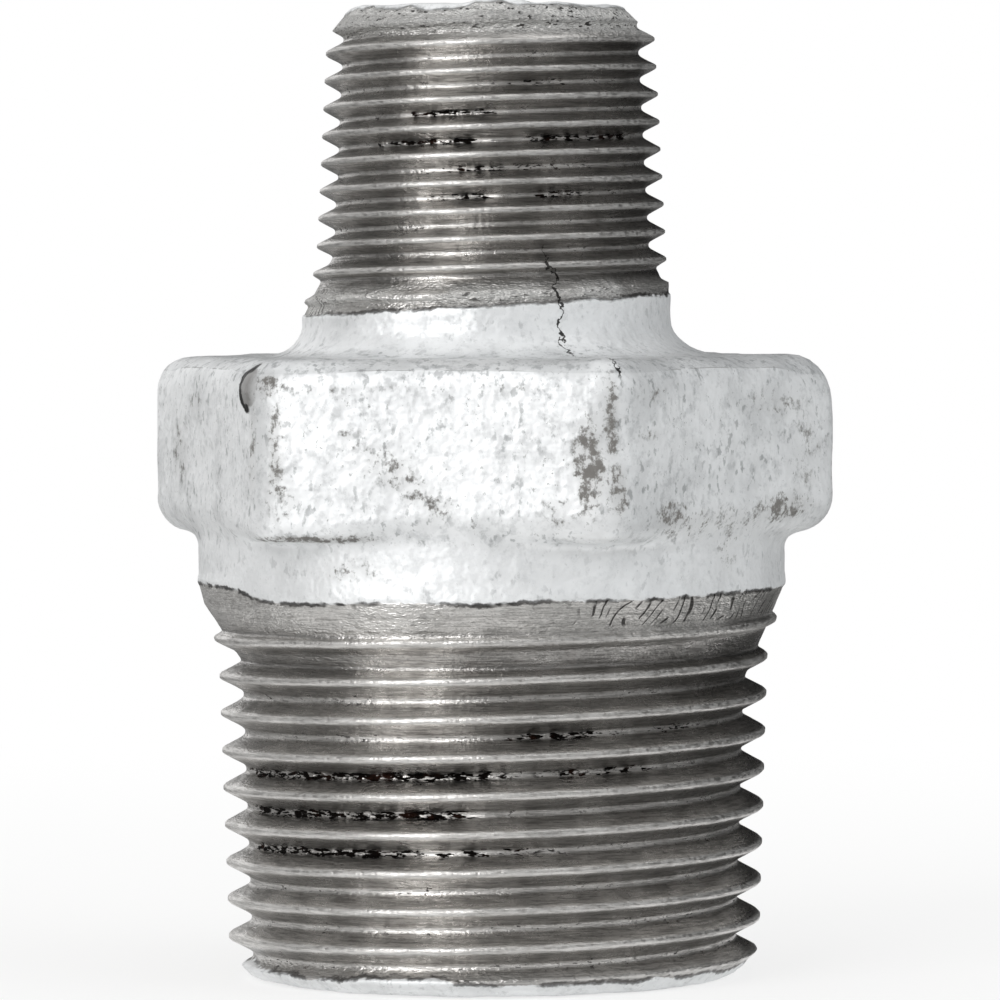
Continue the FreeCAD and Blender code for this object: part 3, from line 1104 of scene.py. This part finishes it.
# A scallop in the coat's edge is its middle bearing, half angle and reach in millimetres
NO_SCALLOP = (0, 1, 0.0)

# Lengths of root that the die tore: turn from the face, start and end in degrees of each end's own
# frame, and strength
LARGE_TEARS = (
    (4, 204, 281, 1.0),
    (3, 206, 274, 1.0),
    (2, 207, 261, 0.95),
    (2, 264, 290, 0.45),
    (5, 284, 303, 0.9),
    (5, 318, 332, 0.5),
    (4, 290, 318, 0.5),
    (3, 20, 66, 0.9),
    (5, 96, 150, 0.8),
    (6, 60, 84, 0.6),
    (1, 140, 171, 0.6),
)
SMALL_TEARS = (
    (2, 50, 72, 0.7),
    (3, 76, 112, 0.7),
    (4, 84, 128, 0.75),
    (4, 14, 66, 0.75),
    (5, 62, 98, 0.5),
    (6, 80, 104, 0.7),
    (6, 42, 64, 0.7),
    (3, 200, 262, 0.8),
    (6, 290, 330, 0.8),
    (5, 160, 196, 0.6),
)


class OBJECT_OT_reducing_nipple(bpy.types.Operator):
    """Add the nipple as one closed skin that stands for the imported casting"""

    bl_idname = "object.add_reducing_nipple"
    bl_label = "Add Reducing Nipple"
    bl_options = {"REGISTER", "UNDO"}

    def execute(self, context):
        scene = context.scene
        lean = scene.casting.shift_bearing
        large = ThreadedEnd(
            sizes=scene.large_end,
            tears=LARGE_TEARS,
            chatter=(337, 50),
            sheet_end=19.4,
            shift_bearing=lean,
            lip_roughness=0.3,
            smear=0.35,
            scallop=(207, 27, 0.62),
            seed=2.0,
        )
        small = ThreadedEnd(
            sizes=scene.small_end,
            tears=SMALL_TEARS,
            chatter=(172, 34),
            sheet_end=15.05,
            shift_bearing=-lean,
            lip_roughness=1.0,
            smear=0.8,
            scallop=NO_SCALLOP,
            seed=5.0,
        )
        casting = Casting(scene.casting, large.neck_radius, large.shift)
        skin = closed_skin(casting, large, small)
        wear(skin, casting, scene.wear, large, small)
        bmesh.ops.scale(skin, vec=(MM, MM, MM), verts=skin.verts)
        mesh = bpy.data.meshes.new("nipple_casting")
        skin.to_mesh(mesh)
        skin.free()
        mesh.shade_smooth()
        mesh.materials.append(galvanised_iron(scene.finish, scene.wear))
        nipple = bpy.data.objects.new("nipple_casting", mesh)
        scene.collection.objects.link(nipple)
        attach(nipple, "root")
        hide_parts(NODE)
        mesh.calc_loop_triangles()
        print("nipple triangles", len(mesh.loop_triangles))
        return {"FINISHED"}


# Cards seen only in reflections, in a ring round the part: start and end bearing and brightness
CARDS = (
    (262, 298, 0.20),
    (298, 322, 0.45),
    (322, 350, 0.27),
    (350, 382, 0.09),
    (22, 110, 0.02),
    (140, 184, 0.52),
    (184, 224, 0.03),
)
CARD_DISTANCE, CARD_FOOT, CARD_TOP = 1.1, -0.2, 1.6

# Cards on the floor, also only for reflections: start and end bearing, near and far radius, brightness
FLOOR_CARDS = (
    (0, 360, 0.001, 0.035, 0.80),
    (96, 214, 0.035, 0.100, 0.30),
    (214, 264, 0.035, 0.100, 1.00),
    (264, 345, 0.035, 0.100, 0.15),
    (345, 456, 0.035, 0.100, 0.03),
    (96, 184, 0.100, 1.1, 0.20),
    (184, 224, 0.100, 1.1, 0.03),
    (224, 264, 0.100, 1.1, 0.80),
    (264, 382, 0.100, 1.1, 0.40),
    (22, 96, 0.100, 1.1, 0.15),
)
CARD_STEPS = 48

# The floor lies just under the lowest lumps of zinc on the end face, and its cards just over it
FLOOR_DROP, CARD_LIFT = 0.0001, 0.0003

WHITE = Color((1, 1, 1))
# Soft lamps that aim at one height: bearing, distance, height, width, tallness and colour
LAMPS = {
    "key": (244, 0.75, 0.24, 0.5, 0.8, WHITE),
    "fill": (345, 0.9, 0.3, 0.8, 0.8, (0.93, 0.97, 1)),
}
LAMP_AIM = 0.024


def plain_light(owner, paler):
    """Factor that is 1 for camera, glossy and transmission rays, which see the background itself."""
    path = owner.add("LightPath")
    rays = ("Is Camera Ray", "Is Glossy Ray", "Is Transmission Ray")
    seen = owner.total(*(path.outputs[ray] for ray in rays))
    return owner.product(owner.math("MINIMUM", seen, 1.0), paler)


def stage_object(scene, name, mesh, material):
    """Links a stage mesh with its material."""
    data = bpy.data.meshes.new(name)
    mesh.to_mesh(data)
    mesh.free()
    data.materials.append(material)
    piece = bpy.data.objects.new(name, data)
    scene.collection.objects.link(piece)
    return piece


def floor_material(settings):
    """Pale floor that fades to plain white away from the part and keeps its shadow."""
    material = bpy.data.materials.new("floor")
    n = Recipe(material)
    place = n.add("TexCoord").outputs["Object"]
    away = n.feed(n.add("VectorMath", operation="LENGTH"), {0: place}).outputs["Value"]
    plain = plain_light(n, n.number(n.rise(away, 0.015, 0.16), 0.70, 1.0))
    diffuse = n.feed(n.add("BsdfDiffuse"), {"Color": settings.floor})
    glow = n.feed(n.add("Emission"), {"Color": WHITE})
    n.show("Material", n.feed(n.add("MixShader"), {0: plain, 1: diffuse.outputs[0], 2: glow.outputs[0]}))
    return material


def card_material(brightness):
    material = bpy.data.materials.new("card")
    n = Recipe(material)
    n.show("Material", n.feed(n.add("Emission"), {"Color": Color([brightness] * 3)}))
    return material


def soft_lamp(scene, name, energy):
    """A rectangular soft lamp that faces the part."""
    bearing, distance, height, width, tall, tint = LAMPS[name]
    data = bpy.data.lights.new(name, "AREA")
    data.shape = "RECTANGLE"
    data.size, data.size_y = width, tall
    data.energy = energy
    data.color = tint
    lamp = bpy.data.objects.new(name, data)
    lamp.location = polar(distance, math.radians(bearing), height)
    aim = Vector((0, 0, LAMP_AIM)) - lamp.location
    lamp.rotation_euler = aim.to_track_quat("-Z", "Y").to_euler()
    scene.collection.objects.link(lamp)
    return lamp


class SCENE_OT_nipple_stage(bpy.types.Operator):
    """Set the pale floor, the cards, the soft lamps, the world and the camera"""

    bl_idname = "scene.set_nipple_stage"
    bl_label = "Set Nipple Stage"
    bl_options = {"REGISTER", "UNDO"}

    def execute(self, context):
        scene = context.scene
        settings = scene.nipple_stage
        sheet = bmesh.new()
        level = Matrix.Translation((0, 0, -FLOOR_DROP))
        bmesh.ops.create_grid(sheet, x_segments=1, y_segments=1, size=settings.floor_size / 2, matrix=level)
        stage_object(scene, "floor", sheet, floor_material(settings))
        for number, (start, end, brightness) in enumerate(CARDS, 1):
            ends = ((CARD_DISTANCE, CARD_FOOT), (CARD_DISTANCE, CARD_TOP))
            self.place_card(scene, f"card_{number}", ends, start, end, brightness)
        for number, (start, end, near, far, brightness) in enumerate(FLOOR_CARDS, 1):
            ends = ((near, CARD_LIFT), (far, CARD_LIFT))
            self.place_card(scene, f"floor_card_{number}", ends, start, end, brightness)
        self.light(scene, settings)
        self.shoot(scene, settings)
        return {"FINISHED"}

    def place_card(self, scene, name, ends, start, end, brightness):
        """Sweeps a line between two (radius, height) ends into a card that only reflections see."""
        card = bmesh.new()
        points = [polar(radius, math.radians(start), height) for radius, height in ends]
        spin(card, points, CARD_STEPS, angle=math.radians(end - start))
        piece = stage_object(scene, name, card, card_material(brightness))
        piece.visible_camera = False
        piece.visible_diffuse = False
        piece.visible_shadow = False

    def light(self, scene, settings):
        soft_lamp(scene, "key", settings.key_power)
        soft_lamp(scene, "fill", settings.fill_power).visible_glossy = False
        scene.world = bpy.data.worlds.new("studio")
        n = Recipe(scene.world)
        strength = n.number(plain_light(n, 1.0), settings.world_light, 1.0)
        n.show("World", n.feed(n.add("Background"), {"Color": WHITE, "Strength": strength}))
        scene.view_settings.view_transform = "Standard"

    def shoot(self, scene, settings):
        data = bpy.data.cameras.new("camera")
        data.sensor_width = 36.0
        data.lens = settings.lens
        data.clip_start = 0.01
        camera = bpy.data.objects.new("camera", data)
        turn = settings.camera_bearing
        out = Vector((math.cos(turn), math.sin(turn), 0))
        across = Vector((-math.sin(turn), math.cos(turn), 0))
        camera.location = out * settings.camera_distance + Vector((0, 0, settings.camera_height))
        aim = across * settings.aim_side + Vector((0, 0, settings.aim_height)) - camera.location
        facing = aim.to_track_quat("-Z", "Y").to_matrix() @ Euler((0, 0, settings.roll)).to_matrix()
        camera.rotation_euler = facing.to_euler()
        scene.collection.objects.link(camera)
        bpy.context.scene.camera = camera


class VIEW3D_PT_reducing_nipple(bpy.types.Panel):
    """Lists the pieces and their sizes."""

    bl_label = "Reducing Nipple"
    bl_idname = "VIEW3D_PT_reducing_nipple"
    bl_space_type = "VIEW_3D"
    bl_region_type = "UI"
    bl_category = "Nipple"

    def draw(self, context):
        layout = self.layout
        scene = context.scene
        groups = (
            (OBJECT_OT_reducing_nipple, ("large_end", "small_end", "casting", "wear", "finish")),
            (SCENE_OT_nipple_stage, ("nipple_stage",)),
        )
        for operator, names in groups:
            layout.operator(operator.bl_idname)
            for name in names:
                box = layout.box()
                box.label(text=name.replace("_", " ").capitalize())
                settings = getattr(scene, name)
                for field in settings.__annotations__:
                    box.prop(settings, field)


SETTINGS = {
    "large_end": LargeEndSizes,
    "small_end": SmallEndSizes,
    "casting": CastingSizes,
    "wear": WearSizes,
    "finish": Finish,
    "nipple_stage": StageSettings,
}
OPERATORS = (OBJECT_OT_reducing_nipple, SCENE_OT_nipple_stage)


def register():
    for name, group in SETTINGS.items():
        bpy.utils.register_class(group)
        setattr(bpy.types.Scene, name, bpy.props.PointerProperty(type=group))
    for item in (*OPERATORS, VIEW3D_PT_reducing_nipple):
        bpy.utils.register_class(item)


def unregister():
    for item in (VIEW3D_PT_reducing_nipple, *OPERATORS):
        bpy.utils.unregister_class(item)
    for name, group in SETTINGS.items():
        delattr(bpy.types.Scene, name)
        bpy.utils.unregister_class(group)


def main():
    register()
    bpy.ops.object.add_reducing_nipple()
    bpy.ops.scene.set_nipple_stage()


if __name__ == "__main__":
    main()
